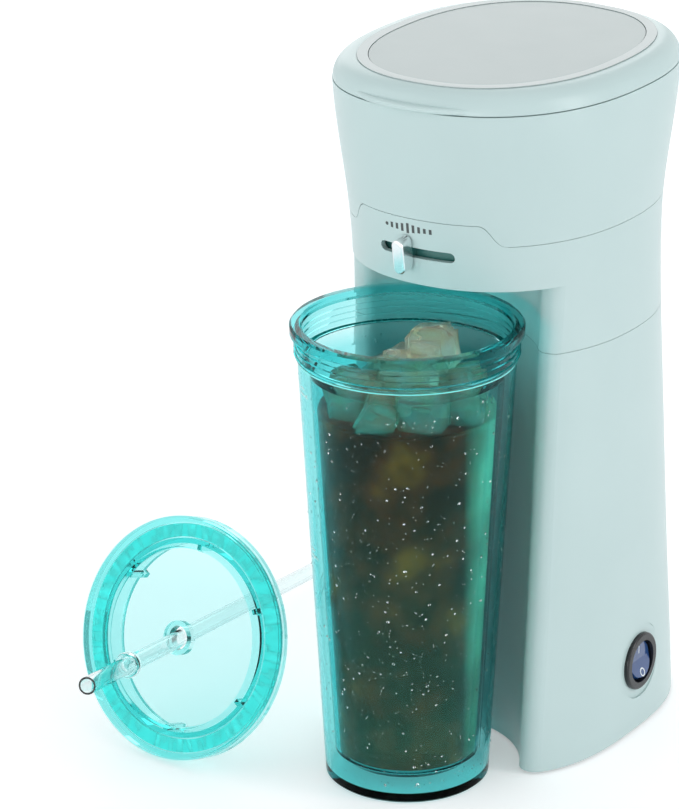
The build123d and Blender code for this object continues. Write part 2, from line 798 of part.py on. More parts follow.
def water_tub():
    rim = rim_z()
    tub = extrude(tub_outline(TUB_FLOOR_Z, 0.0), rim + RIM - TUB_FLOOR_Z)
    tub += extrude(tub_outline(rim, TUB_RIM_OUT), RIM)
    tub -= extrude(tub_outline(TUB_FLOOR_Z + TUB_WALL, -TUB_WALL), FAR / 2)
    tub += post(0, DRAIN_Y, TUB_FLOOR_Z - DRAIN_TALL, TUB_FLOOR_Z, DRAIN_R)
    return tub - post(0, DRAIN_Y, TUB_FLOOR_Z - 2 * DRAIN_TALL, TUB_FLOOR_Z + 2 * TUB_WALL, DRAIN_BORE_R)


def check_valve():
    top = TUB_FLOOR_Z - DRAIN_TALL
    valve = post(0, DRAIN_Y, top - VALVE_TALL, top, VALVE_R)
    valve = chamfer(valve.edges(), VALVE_R / 6)
    return valve - post(0, DRAIN_Y, 0, FAR, DRAIN_BORE_R)


def hose(points, radii):
    """A hose along straight runs joined by arcs."""
    path = FilletPolyline(*points, radius=radii)
    start = Plane(origin=path @ 0, z_dir=path % 0)
    ring = Circle(HOSE_R) - Circle(HOSE_BORE_R)
    return sweep(start * ring, path)


def inlet_hose():
    top = TUB_FLOOR_Z - DRAIN_TALL - VALVE_TALL
    x = HEATER_BEND_R
    return hose(
        [
            (0, DRAIN_Y, top), (0, DRAIN_Y, top * 0.75), (x, HOSE_BACK_Y, top * 0.4),
            (x, HOSE_BACK_Y, HEATER_Z), (x, HEATER_END_Y, HEATER_Z),
        ],
        HOSE_BEND_R,
    )


def riser_hose():
    x = -HEATER_BEND_R
    return hose(
        [
            (x, HEATER_END_Y, HEATER_Z), (x, HOSE_BACK_Y, HEATER_Z), (x, HOSE_BACK_Y, HEATER_Z + 40),
            (RISER_X, RISER_Y, TUB_FLOOR_Z * 0.75), (RISER_X, RISER_Y, RISER_TOP_Z),
        ],
        HOSE_BEND_R,
    )


def riser_port():
    """The fitting that brings hot water up through the deck into the lid."""
    rim = rim_z()
    port = post(RISER_X, RISER_Y, RISER_TOP_Z, rim, HOSE_R)
    port += post(RISER_X, RISER_Y, rim, rim + RIM, PORT_FLANGE_R)
    port += post(RISER_X, RISER_Y, rim, PORT_TOP_Z, PORT_R)
    return port - post(RISER_X, RISER_Y, 0, FAR, HOSE_BORE_R)


def heater_tube():
    """The finned water tube and its element, bent into a U in the base."""
    bend = HEATER_BEND_R
    path = Wire([
        Line((bend, HEATER_END_Y, HEATER_Z), (bend, HEATER_BEND_Y, HEATER_Z)),
        ThreePointArc(
            (bend, HEATER_BEND_Y, HEATER_Z),
            (0, HEATER_BEND_Y - bend, HEATER_Z),
            (-bend, HEATER_BEND_Y, HEATER_Z),
        ),
        Line((-bend, HEATER_BEND_Y, HEATER_Z), (-bend, HEATER_END_Y, HEATER_Z)),
    ])
    start = Plane(origin=(bend, HEATER_END_Y, HEATER_Z), z_dir=(0, -1, 0))
    return sweep(start * (Circle(HEATER_R) - Circle(HOSE_BORE_R)), path)


def carrier_z():
    """The underside of the heater's carrier plate."""
    return HEATER_Z - HEATER_R - CARRIER


def heater_carrier():
    """The plate that the heater lies on, on three standoffs."""
    half = HEATER_BEND_R + 2 * HEATER_R / 3
    low = carrier_z()
    plate = block((-half, half), (CARRIER_FRONT_Y, CARRIER_BACK_Y), (low, low + CARRIER))
    for x, y in standoff_places():
        plate += post(x, y, BASE_Z + PLATE, low, STANDOFF_R)
    return plate


def standoff_places():
    half = HEATER_BEND_R - STANDOFF_R
    inside = STANDOFF_R + CARRIER / 2
    return [
        (0, CARRIER_FRONT_Y + inside),
        (-half, CARRIER_BACK_Y - inside),
        (half, CARRIER_BACK_Y - inside),
    ]


def heater_clamp():
    """The strap across the heater's two legs, which the thermostat sits on."""
    low = HEATER_Z + HEATER_R
    half = HEATER_BEND_R + HEATER_R + STANDOFF_R
    y = HEATER_BEND_Y + THERMOSTAT_R
    strap = block((-half, half), (y - THERMOSTAT_R, y + THERMOSTAT_R), (low, low + CARRIER))
    for side in (-1, 1):
        leg = (side * half - CARRIER / 2, side * half + CARRIER / 2)
        strap += block(leg, (y - THERMOSTAT_R, y + THERMOSTAT_R), (BASE_Z + PLATE, low + CARRIER))
    return strap


def clamp_top():
    return HEATER_Z + HEATER_R + CARRIER


def thermostat():
    y = HEATER_BEND_Y + THERMOSTAT_R
    body = post(0, y, clamp_top(), clamp_top() + THERMOSTAT_TALL, THERMOSTAT_R)
    for side in (-1, 1):
        x = side * THERMOSTAT_R / 2
        top = clamp_top() + THERMOSTAT_TALL
        body += block((x - 1, x + 1), (y - TAB_WIDE / 2, y + TAB_WIDE / 2), (top, top + TAB_TALL))
    return body


def thermal_fuse():
    y = HEATER_BEND_Y + THERMOSTAT_R
    start = (HEATER_BEND_R - 2 * FUSE_R, y - FUSE_LONG / 2, clamp_top() + FUSE_R)
    return rod(start, (0, 1, 0), FUSE_R, FUSE_LONG)


# The lid


def lid_bottom():
    return LID_SEAM_Z + LID_GAP


def panel_oval(z, inset):
    return oval(z, PANEL_HALF, PANEL_FRONT, PANEL_BACK, PANEL_POWER, inset)


def lid_form(low, inset):
    """The lid's rounded form, drawn in by inset, from a height up to its flat top."""
    top = LID_TOP_Z - inset
    radius = LID_SHOULDER_R - inset
    steps = [radians(90 * step / SHOULDER_STEPS) for step in range(SHOULDER_STEPS + 1)]
    sections = [top_oval(top - radius * (1 - sin(a)), inset + radius * (1 - cos(a))) for a in steps]
    shoulder = loft(sections)
    return shoulder + extrude(top_oval(low, inset), top - radius - low)


def finger_lip():
    """The thin crescent at the lid's front edge: a rounded disc, of which only the front stands out."""
    half, front, back, power = drawn_in(*edges_at(LID_SEAM_Z), LID_IN)
    deep = (back - front) / 2
    corner_y = (front + back) / 2 - deep * (1 - (LIFT_HALF / half) ** power) ** (1 / power)
    tip_y = front - LIFT_OUT
    sagitta = corner_y - tip_y
    radius = (LIFT_HALF**2 + sagitta**2) / (2 * sagitta)
    low = lid_bottom()
    disc = post(0, tip_y + radius, low, low + LIFT_TALL, radius)
    disc = fillet(disc.edges(), LIFT_ROUND)
    return disc - extrude(top_oval(low - 1, LID_IN + LID_WALL / 2), 2 + LIFT_TALL)


def lid_shell():
    low = lid_bottom()
    lid = lid_form(low, LID_IN)
    lid -= extrude(top_oval(low - 1, LID_IN + LID_WALL), 1 + LID_TOP_Z - LID_SHOULDER_R / 2 - low)
    lid += extrude(panel_oval(LID_TOP_Z - POCKET - LID_WALL, -RING_WIDE - LID_WALL), LID_WALL)
    lid -= extrude(panel_oval(LID_TOP_Z - POCKET, -RING_WIDE), 2 * POCKET)
    lid += finger_lip()
    web_y = (HINGE_Y - KNUCKLE_R, HINGE_Y + KNUCKLE_R / 2)
    web = block((-KNUCKLE_HALF, KNUCKLE_HALF), web_y, (HINGE_Z, low + LID_WALL))
    lid += [web, rod((-KNUCKLE_HALF, HINGE_Y, HINGE_Z), (1, 0, 0), KNUCKLE_R, 2 * KNUCKLE_HALF)]
    return lid - rod((-KNUCKLE_HALF, HINGE_Y, HINGE_Z), (1, 0, 0), PIN_R + RUNNING, 2 * KNUCKLE_HALF)


def lid_ring():
    low = LID_TOP_Z - POCKET
    ring = extrude(panel_oval(low, -RING_WIDE + PANEL_LINE / 2), POCKET + RING_PROUD)
    return ring - extrude(panel_oval(low - 1, 0.0), FAR)


def lid_panel():
    low = LID_TOP_Z - POCKET
    return extrude(panel_oval(low, PANEL_LINE), POCKET)


def lid_seal():
    low, outer = lid_bottom(), LID_IN + LID_WALL + SEAL_CLEARANCE
    ring = extrude(top_oval(low, outer), SEAL_TALL) - extrude(top_oval(low - 1, outer + SEAL), SEAL_TALL + 2)
    return ring - block((-KNUCKLE_HALF, KNUCKLE_HALF), (HINGE_Y - KNUCKLE_R, FAR), (0, FAR))


def shower_head():
    """The spreader under the lid: a drilled disc over the basket and an arm from the water port."""
    low, high = SHOWER_LOW_Z, SHOWER_LOW_Z + SHOWER_TALL
    ceiling = LID_TOP_Z - POCKET - LID_WALL
    arm_low = high - SHOWER_TALL / 2
    shower = post(0, BREW_Y, low, high, SHOWER_R)
    along = degrees(atan2(BREW_Y - RISER_Y, -RISER_X))
    length = ((BREW_Y - RISER_Y) ** 2 + RISER_X**2) ** 0.5
    arm = block((0, length), (-ARM_WIDE / 2, ARM_WIDE / 2), (arm_low, high))
    shower += Pos(RISER_X, RISER_Y, 0) * Rot(0, 0, along) * arm
    shower += post(RISER_X, RISER_Y, low, high, PORT_R + 2 * WALL)
    shower += post(0, BREW_Y, high, ceiling, ARM_WIDE / 2)
    shower -= post(RISER_X, RISER_Y, 0, PORT_TOP_Z + 1, PORT_R + 2 * DECK_CLEARANCE)
    for ring_r, count in ((SHOWER_R / 2, SHOWER_HOLES // 2), (SHOWER_R * 0.8, SHOWER_HOLES)):
        for step in range(count):
            turn = 2 * pi * step / count
            x, y = ring_r * cos(turn), BREW_Y + ring_r * sin(turn)
            shower -= post(x, y, low - 1, low + SHOWER_TALL / 2, SHOWER_HOLE_R)
    return shower


def hinge_pin():
    half = KNUCKLE_HALF + EAR_GAP + EAR_WIDE
    return rod((-half, HINGE_Y, HINGE_Z), (1, 0, 0), PIN_R, 2 * half)


# The tumbler


def tumbler_r(z):
    """The outer wall's radius at a height."""
    return TUMBLER_BASE_R + (TUMBLER_JOINT_R - TUMBLER_BASE_R) * z / TUMBLER_JOINT_Z


def tumbler_outer():
    top = TUMBLER_JOINT_Z
    foot = TUMBLER_WALL / 2
    return turned(
        [
            (0, 0), (tumbler_r(0) - foot, 0), (tumbler_r(foot), foot), (tumbler_r(top), top),
            (tumbler_r(top) - TUMBLER_WALL, top), (tumbler_r(TUMBLER_FLOOR) - TUMBLER_WALL, TUMBLER_FLOOR),
            (0, TUMBLER_FLOOR),
        ],
        TUMBLER_Y,
    )


def liner_out(z):
    return tumbler_r(z) - TUMBLER_WALL - LINER_GAP


def tumbler_liner():
    """The inner cup, with the neck and the rolled rim that stand above the outer wall."""
    joint = TUMBLER_JOINT_Z + WELD
    rim_low = TUMBLER_HEIGHT - TUMBLER_RIM_TALL
    neck = TUMBLER_MOUTH_R + NECK_WALL
    corner = 3.0
    shoulder = joint - 2 * corner
    floor = LINER_FLOOR_Z
    roll = 0.8
    points = [
        (0, floor), (liner_out(floor) - corner, floor), (liner_out(floor + corner), floor + corner),
        (liner_out(shoulder), shoulder), (TUMBLER_MOUTH_R - corner / 3, joint),
        (TUMBLER_JOINT_R, joint), (neck, joint + roll), (neck, rim_low),
        (TUMBLER_RIM_R, rim_low + roll / 2), (TUMBLER_RIM_R, TUMBLER_HEIGHT - roll),
        (TUMBLER_RIM_R - roll, TUMBLER_HEIGHT), (TUMBLER_MOUTH_R + roll, TUMBLER_HEIGHT),
        (TUMBLER_MOUTH_R, TUMBLER_HEIGHT - roll), (TUMBLER_MOUTH_R, joint + corner / 2),
        (liner_out(shoulder) - LINER_WALL, shoulder),
        (liner_out(floor + corner) - LINER_WALL, floor + corner),
        (liner_out(floor) - corner - LINER_WALL / 2, floor + LINER_WALL), (0, floor + LINER_WALL),
    ]
    liner = turned(points, TUMBLER_Y)
    rib_pitch = (rim_low - joint) / 4
    for step in (1, 2, 3):
        z = joint + step * rib_pitch
        rib = turned(
            [(neck - NECK_RIB, z - NECK_RIB), (neck + NECK_RIB, z), (neck - NECK_RIB, z + NECK_RIB)],
            TUMBLER_Y,
        )
        liner += rib
    return liner


def weld_ring():
    """The pale line where the inner cup is welded to the outer wall."""
    low, high = TUMBLER_JOINT_Z, TUMBLER_JOINT_Z + WELD
    outer = TUMBLER_JOINT_R
    inner = outer - TUMBLER_WALL
    return turned([(inner, low), (outer, low), (outer, high), (inner, high)], TUMBLER_Y)


# The tumbler's lid and straw


def cap_place():
    """Where the lid's top face lies: its skirt's lower edge stands on the table."""
    lean = radians(CAP_LEAN)
    z = CAP_R * cos(lean) + CAP_TALL * sin(lean)
    return Pos(CAP_X, CAP_Y, z) * Rot(0, 0, CAP_HEADING) * Rot(90 - CAP_LEAN, 0, 0)


def tumbler_lid():
    plug_r = TUMBLER_MOUTH_R - CAP_PLUG_CLEARANCE
    plate_low = -CAP_DISH - CAP_PLATE
    edge = 0.9
    cap = turned([
        (CAP_HOLE_R, plate_low), (plug_r - CAP_PLUG_WALL, plate_low),
        (plug_r - CAP_PLUG_WALL, -CAP_PLUG_DEPTH), (plug_r, -CAP_PLUG_DEPTH), (plug_r, plate_low),
        (CAP_R - CAP_SKIRT, plate_low), (CAP_R - CAP_SKIRT, -CAP_TALL), (CAP_R, -CAP_TALL),
        (CAP_R, -edge), (CAP_R - edge, 0), (CAP_DISH_R + edge, 0), (CAP_DISH_R, -CAP_DISH),
        (CAP_BOSS_R, -CAP_DISH), (CAP_BOSS_R, edge / 2), (CAP_HOLE_R, edge / 2),
    ])
    lug_r = plug_r - CAP_PLUG_WALL
    for step in range(CAP_LUGS):
        lug = block(
            (lug_r - CAP_PLUG_WALL, lug_r + CAP_PLUG_WALL / 2),
            (-CAP_PLUG_WALL / 2, CAP_PLUG_WALL / 2),
            (-CAP_PLUG_DEPTH - 1, plate_low + 0.5),
        )
        cap += Rot(0, 0, (step + 0.5) * 360 / CAP_LUGS) * lug
    return cap_place() * cap


def cap_gasket():
    """The soft ring under the lid that closes on the tumbler's rim."""
    high = -CAP_DISH - CAP_PLATE
    low = high - 1.5
    inner = TUMBLER_MOUTH_R
    outer = CAP_R - CAP_SKIRT - CAP_PLUG_CLEARANCE
    return cap_place() * turned([(inner, low), (outer, low), (outer, high), (inner, high)])


def straw_line():
    """The straw's start, direction and length, from its near end to the table."""
    middle = (cap_place() * Pos(0, 0, -CAP_DISH + 0.2)).position
    dip = asin((middle.Z - STRAW_R) / STRAW_FAR)
    turn = radians(STRAW_HEADING)
    along = Vector(-sin(turn) * cos(dip), cos(turn) * cos(dip), -sin(dip))
    return middle - along * STRAW_NEAR, along, STRAW_NEAR + STRAW_FAR


def straw():
    start, along, length = straw_line()
    tube = rod(start, along, STRAW_R, length)
    return tube - rod(start - along, along, STRAW_R - STRAW_WALL, length + 2)


def straw_collar():
    start, along, length = straw_line()
    thick = COLLAR_R - STRAW_R
    middle = start + along * (STRAW_NEAR - STRAW_COLLAR_AT)
    ring = rod(middle - along * thick, along, COLLAR_R, 2 * thick)
    ring = fillet(ring.edges(), thick * 0.8)
    return ring - rod(middle - along * 2 * thick, along, STRAW_R, 4 * thick)


PIECES = (
    lower_shell, middle_shell, upper_shell, base_plate, rubber_feet, base_screws, cord_gland,
    switch_bezel, rocker, switch_terminals, strength_slider, strength_lever, slider_track,
    brew_funnel, outlet_nozzle, filter_basket, filter_mesh, top_deck, water_tub, check_valve,
    inlet_hose, riser_hose, riser_port, heater_tube, heater_carrier, heater_clamp, thermostat,
    thermal_fuse, lid_shell, lid_ring, lid_panel, lid_seal, shower_head, hinge_pin, tumbler_outer,
    tumbler_liner, weld_ring, tumbler_lid, cap_gasket, straw, straw_collar,
)


def main():
    os.makedirs("parts", exist_ok=True)
    for piece in PIECES:
        made = piece()
        solids = made if isinstance(made, list) else [made]
        group = Compound(children=[solid for item in solids for solid in item.solids()])
        export_step(group, f"parts/{piece.__name__}.step")
        print(f"{piece.__name__}: {len(group.solids())} solids, {group.volume:.0f} mm3")


if __name__ == "__main__":
    main()
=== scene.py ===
# %% [markdown]
# # An iced coffee maker with its tumbler
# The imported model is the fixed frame: every housing part, joint and wall is already in place, in
# metres. This scene adds what a picture needs: a camera at the photo's own angle, soft light, a
# finish for every part, and the things that a solid model leaves out, such as the drink, the ice,
# the printed scale and the water drops on the cold tumbler.

from math import cos, pi, radians, sin
from random import Random

import bmesh
import bpy
from mathutils import Matrix, Vector, noise
from mathutils.bvhtree import BVHTree


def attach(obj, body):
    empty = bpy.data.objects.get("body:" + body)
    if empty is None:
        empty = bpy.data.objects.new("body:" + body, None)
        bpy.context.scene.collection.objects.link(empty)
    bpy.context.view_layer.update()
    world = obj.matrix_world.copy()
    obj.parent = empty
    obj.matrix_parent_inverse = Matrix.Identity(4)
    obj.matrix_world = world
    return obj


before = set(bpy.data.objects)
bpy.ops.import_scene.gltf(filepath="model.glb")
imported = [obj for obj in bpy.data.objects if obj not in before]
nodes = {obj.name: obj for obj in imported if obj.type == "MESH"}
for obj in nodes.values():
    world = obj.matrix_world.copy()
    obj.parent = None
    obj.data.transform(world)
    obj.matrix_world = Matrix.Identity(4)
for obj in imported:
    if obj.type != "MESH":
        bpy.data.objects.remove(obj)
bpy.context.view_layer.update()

# %% [markdown]
# ## The camera
# A long lens from about 1.5 m away keeps the upright edges almost parallel, as in the photograph.
# The camera looks down by 21 degrees and comes from the right by 33. A camera looks along its own
# -Z axis, so its matrix is made of three directions: right, up and back. A small sideways shift
# frames the object off centre without turning the camera.

# %% Place the camera
CAMERA_AT = Vector((0.6875, -1.1441, 0.63735))
CAMERA_TURN = radians(32.63)
CAMERA_DROP = radians(21.02)
SENSOR_MM = 36
LENS_MM = 165.95
SIDE_SHIFT = -0.0841
NEAREST = 0.05
right = Vector((cos(CAMERA_TURN), sin(CAMERA_TURN), 0))
flat = cos(CAMERA_DROP)
back = Vector((sin(CAMERA_TURN) * flat, -cos(CAMERA_TURN) * flat, sin(CAMERA_DROP)))
up = back.cross(right)

camera_data = bpy.data.cameras.new("photo_camera")
camera_data.sensor_width = SENSOR_MM
camera_data.lens = LENS_MM
camera_data.shift_x = SIDE_SHIFT
camera_data.clip_start = NEAREST
camera = bpy.data.objects.new("photo_camera", camera_data)
bpy.context.scene.collection.objects.link(camera)
turn = Matrix((right, up, back)).transposed().to_4x4()
camera.matrix_world = Matrix.Translation(CAMERA_AT) @ turn
bpy.context.scene.camera = camera
print("the camera is", round(CAMERA_AT.length, 3), "m from the middle of the base")

# %% [markdown]
# ## Light, floor and background
# A product picture like this is made in a white tent. Large area lamps give the long soft
# highlights on the plastic, a smaller one low in front reaches into the bay, and the world fills
# the shadows. The floor is almost white. Seen by the camera, by a mirror or through clear plastic
# it glows a little more, so that it reaches the white of the page while the shadow under the
# object stays.

# %% Light the scene
scene = bpy.context.scene
scene.view_settings.view_transform = "Standard"
MIDDLE = Vector((0, 0, 0.13))


def soft_lamp(name, place, size, watts):
    """A rectangular softbox that faces the middle of the object."""
    data = bpy.data.lights.new(name, "AREA")
    data.shape = "RECTANGLE"
    data.size, data.size_y = size
    data.energy = watts
    lamp = bpy.data.objects.new(name, data)
    scene.collection.objects.link(lamp)
    lamp.location = place
    lamp.rotation_euler = (MIDDLE - Vector(place)).to_track_quat("-Z", "Y").to_euler()


soft_lamp("key_softbox", (-0.75, -0.85, 0.75), (0.7, 0.9), 1.9)
soft_lamp("side_softbox", (1.08, 0.20, 0.50), (0.35, 1.1), 4.5)
soft_lamp("top_softbox", (0.05, 0.15, 1.25), (1.0, 1.0), 1.3)
soft_lamp("back_softbox", (-0.7, 0.9, 0.6), (0.8, 0.8), 2.0)
soft_lamp("front_softbox", (-0.30, -1.25, 0.24), (0.9, 0.5), 2.9)
soft_lamp("bay_softbox", (0.42, -1.15, 0.14), (0.5, 0.3), 1.5)

# %% [markdown]
# A material is a tree of small nodes joined by links. Two helpers keep the trees short: one adds
# or multiplies two values, and one takes a value from one span of numbers to another. A third
# tells what kind of ray asks, which the world and the floor both need.

# %% Helpers for shader nodes


def combined(tree, operation, first, second):
    """Two values made into one, such as their sum. The second may be a plain number."""
    node = tree.nodes.new("ShaderNodeMath")
    node.operation = operation
    tree.links.new(first, node.inputs[0])
    if isinstance(second, float):
        node.inputs[1].default_value = second
    else:
        tree.links.new(second, node.inputs[1])
    return node.outputs[0]


def mapped(tree, value, span, result):
    """A value taken from one span of numbers to another."""
    node = tree.nodes.new("ShaderNodeMapRange")
    node.inputs["From Min"].default_value, node.inputs["From Max"].default_value = span
    node.inputs["To Min"].default_value, node.inputs["To Max"].default_value = result
    tree.links.new(value, node.inputs["Value"])
    return node.outputs["Result"]


def seen_directly(tree):
    """A value that is 1 for rays from the camera, a mirror or clear plastic."""
    path = tree.nodes.new("ShaderNodeLightPath")
    seen = combined(tree, "MAXIMUM", path.outputs["Is Camera Ray"], path.outputs["Is Glossy Ray"])
    return combined(tree, "MAXIMUM", seen, path.outputs["Is Transmission Ray"])


print("node helpers: combined, mapped and seen_directly")

# %% [markdown]
# The world around the object could be a photographed room, but its windows would show in every
# curve. Here it is one even colour with two strengths: a dim one that fills the shadows, and a
# white page for what is seen directly.

# %% Make the world
WORLD_FILL = 0.58
WORLD_PAGE = 1.0

world = bpy.data.worlds.new("white_tent")
scene.world = world
world.use_nodes = True
tree = world.node_tree
fill = tree.nodes["Background"]
fill.inputs["Color"].default_value = (0.93, 0.97, 1.0, 1)
fill.inputs["Strength"].default_value = WORLD_FILL
page = tree.nodes.new("ShaderNodeBackground")
page.inputs["Color"].default_value = (1, 1, 1, 1)
page.inputs["Strength"].default_value = WORLD_PAGE
choose = tree.nodes.new("ShaderNodeMixShader")
tree.links.new(seen_directly(tree), choose.inputs[0])
tree.links.new(fill.outputs[0], choose.inputs[1])
tree.links.new(page.outputs[0], choose.inputs[2])
tree.links.new(choose.outputs[0], tree.nodes["World Output"].inputs["Surface"])
print("the world fills with strength", WORLD_FILL)

# %% [markdown]
# The floor is a large sheet of matt white paper just under the feet, so that no two surfaces lie
# in one place. An object that only catches shadows would keep the page whiter, but a real sheet
# also throws soft light back up, which the underside of the head needs.

# %% Lay the floor
FLOOR_HALF = 6.0
FLOOR_DROP = 0.0002
FLOOR_GLOW = 0.34

floor_mesh = bpy.data.meshes.new("floor")
ways = ((-1, -1), (1, -1), (1, 1), (-1, 1))
corners = [(x * FLOOR_HALF, y * FLOOR_HALF, -FLOOR_DROP) for x, y in ways]
floor_mesh.from_pydata(corners, [], [(0, 1, 2, 3)])
floor = bpy.data.objects.new("floor", floor_mesh)
scene.collection.objects.link(floor)

paper = bpy.data.materials.new("white_paper")
paper.use_nodes = True
tree = paper.node_tree
sheet = tree.nodes["Principled BSDF"]
sheet.inputs["Base Color"].default_value = (0.88, 0.885, 0.89, 1)
sheet.inputs["Roughness"].default_value = 0.7
glow = tree.nodes.new("ShaderNodeEmission")
glow.inputs["Color"].default_value = (1, 1, 1, 1)
strength = combined(tree, "MULTIPLY", seen_directly(tree), FLOOR_GLOW)
tree.links.new(strength, glow.inputs["Strength"])
both = tree.nodes.new("ShaderNodeAddShader")
tree.links.new(sheet.outputs[0], both.inputs[0])
tree.links.new(glow.outputs[0], both.inputs[1])
tree.links.new(both.outputs[0], tree.nodes["Material Output"].inputs["Surface"])
floor_mesh.materials.append(paper)
print("the floor reaches", FLOOR_HALF, "m each way")

# %% [markdown]
# ## One recipe for every finish
# Real plastic is never one flat colour. A mould leaves the shade and the gloss a little uneven,
# and a fine grain breaks up the highlights. The recipe below mixes two close colours through a
# soft noise, varies the roughness with a second noise and adds a very shallow bump. Each finish
# then only states its colours, its gloss and the size of its grain.

# %% Noise for uneven surfaces


def noise_of(tree, size, detail=3.0):
    """Noise in the object's own space, whose blobs are about size metres across."""
    place = tree.nodes.new("ShaderNodeTexCoord")
    cloud = tree.nodes.new("ShaderNodeTexNoise")
    cloud.inputs["Scale"].default_value = 1 / size
    cloud.inputs["Detail"].default_value = detail
    tree.links.new(place.outputs["Object"], cloud.inputs["Vector"])
    return cloud.outputs["Fac"]


print("noise follows each object, so it moves with the part")

# %% [markdown]
# A scanned image could give the same unevenness, but it needs an unwrapped mesh and shows its
# edges and repeats. Noise needs neither, and every number in it is a size in metres.

# %% A recipe for solid finishes


def finish(name, light, dark, rough=(0.3, 0.4), cloud=0.03, grain=0.0004, bump=0.05, **sockets):
    """A material from two close colours, a range of roughness and a fine grain."""
    material = bpy.data.materials.new(name)
    material.use_nodes = True
    tree = material.node_tree
    shader = tree.nodes["Principled BSDF"]
    ramp = tree.nodes.new("ShaderNodeValToRGB")
    ramp.color_ramp.elements[0].position = 0.3
    ramp.color_ramp.elements[1].position = 0.7
    ramp.color_ramp.elements[0].color = (*dark, 1)
    ramp.color_ramp.elements[1].color = (*light, 1)
    tree.links.new(noise_of(tree, cloud), ramp.inputs["Fac"])
    tree.links.new(ramp.outputs["Color"], shader.inputs["Base Color"])
    spread = mapped(tree, noise_of(tree, cloud / 3), (0, 1), rough)
    tree.links.new(spread, shader.inputs["Roughness"])
    if bump:
        relief = tree.nodes.new("ShaderNodeBump")
        relief.inputs["Strength"].default_value = bump
        relief.inputs["Distance"].default_value = grain / 4
        tree.links.new(noise_of(tree, grain, 2.0), relief.inputs["Height"])
        tree.links.new(relief.outputs["Normal"], shader.inputs["Normal"])
    for socket, value in sockets.items():
        shader.inputs[socket.replace("_", " ")].default_value = value
    return material


print("a finish takes two colours, a range of roughness, and any socket by name")

# %% Put a finish on parts


def coat(material, *names):
    """Gives parts of the frame a finish."""
    for name in names:
        if not nodes[name].material_slots:
            nodes[name].data.materials.append(material)
        for slot in nodes[name].material_slots:
            slot.material = material


print(len(nodes), "parts wait for a finish")

# %% [markdown]
# ## The housing's plastic
# On the real machine the three shells and the lid's rim are moulded from one pale mint plastic
# with a satin gloss, so one finish covers them all. The inlay in the lid is greyer and shinier,
# and a slightly paler ring frames it. The grain's bump is kept very shallow, because a deeper one
# would make the plastic look like leather from this near. A little subsurface light would
# soften them further, but it costs much time for a change that is hardly seen, so it is left out.

# %% Finish the housing
MINT_LIGHT = (0.555, 0.692, 0.683)
MINT_DARK = (0.535, 0.672, 0.663)
mint = finish("mint_plastic", MINT_LIGHT, MINT_DARK, rough=(0.30, 0.36), cloud=0.05)
coat(mint, "lower_shell", "middle_shell", "upper_shell", "lid_shell")
panel = finish("pale_panel", (0.275, 0.355, 0.35), (0.26, 0.34, 0.335), rough=(0.22, 0.28),
               cloud=0.04, bump=0.02)
coat(panel, "lid_panel")
ring = finish("white_ring", (0.42, 0.495, 0.49), (0.39, 0.465, 0.46), rough=(0.22, 0.28))
coat(ring, "lid_ring")
print("mint", MINT_LIGHT)

# %% [markdown]
# ## The small and the hidden parts
# The parts inside show when the lid swings up, or from below. White food-safe plastic, dark
# moulded plastic, rubber, plain steel and milky silicone cover nearly all of them. The lever in
# front is chrome, and the switch's button is a deep blue with a clear coat.

# %% Finish the plastic, rubber and silicone parts
white = finish("white_plastic", (0.76, 0.78, 0.77), (0.73, 0.75, 0.74), rough=(0.40, 0.50))
coat(white, "brew_funnel", "top_deck", "water_tub", "check_valve", "riser_port", "shower_head")
dark = finish("dark_plastic", (0.045, 0.05, 0.05), (0.03, 0.035, 0.035), rough=(0.45, 0.6), bump=0.2)
coat(dark, "base_plate", "slider_track", "outlet_nozzle", "filter_basket")
teal_dark = finish("teal_dark", (0.05, 0.20, 0.18), (0.03, 0.14, 0.13), rough=(0.2, 0.3), bump=0.0)
coat(teal_dark, "strength_slider")
black = finish("black_plastic", (0.012, 0.013, 0.016), (0.008, 0.009, 0.011), rough=(0.22, 0.3))
coat(black, "switch_bezel", "thermostat")
rubber = finish("rubber", (0.03, 0.03, 0.03), (0.02, 0.02, 0.02), rough=(0.7, 0.85), bump=0.3)
coat(rubber, "rubber_feet", "cord_gland")
silicone = finish("silicone", (0.72, 0.72, 0.69), (0.66, 0.66, 0.63), rough=(0.35, 0.5))
coat(silicone, "lid_seal", "inlet_hose", "riser_hose")
print(len(bpy.data.materials), "finishes so far")

# %% [markdown]
# Bare metal is a mirror whose roughness blurs it, and its colour is the colour of the mirror
# image. Steel, cast aluminium and the lever's chrome are the same recipe with Metallic at 1. They
# differ in shade and in how rough they are.

# %% Finish the metal parts and the switch
steel = finish("steel", (0.56, 0.56, 0.55), (0.48, 0.48, 0.47), rough=(0.25, 0.4), Metallic=1.0)
coat(steel, "base_screws", "switch_terminals", "heater_carrier", "heater_clamp", "thermal_fuse")
coat(steel, "hinge_pin", "filter_mesh")
aluminium = finish("aluminium", (0.66, 0.66, 0.67), (0.58, 0.58, 0.59), rough=(0.3, 0.45), Metallic=1.0)
coat(aluminium, "heater_tube")
chrome = finish("chrome", (0.86, 0.88, 0.89), (0.80, 0.83, 0.84), rough=(0.20, 0.26), bump=0.0,
                Metallic=1.0)
coat(chrome, "strength_lever")
rocker_blue = finish("blue_translucent", (0.02, 0.075, 0.24), (0.012, 0.05, 0.17), rough=(0.08, 0.14),
                     bump=0.0, Coat_Weight=0.6, Coat_Roughness=0.05)
coat(rocker_blue, "rocker")
print(len(bpy.data.materials), "finishes so far")

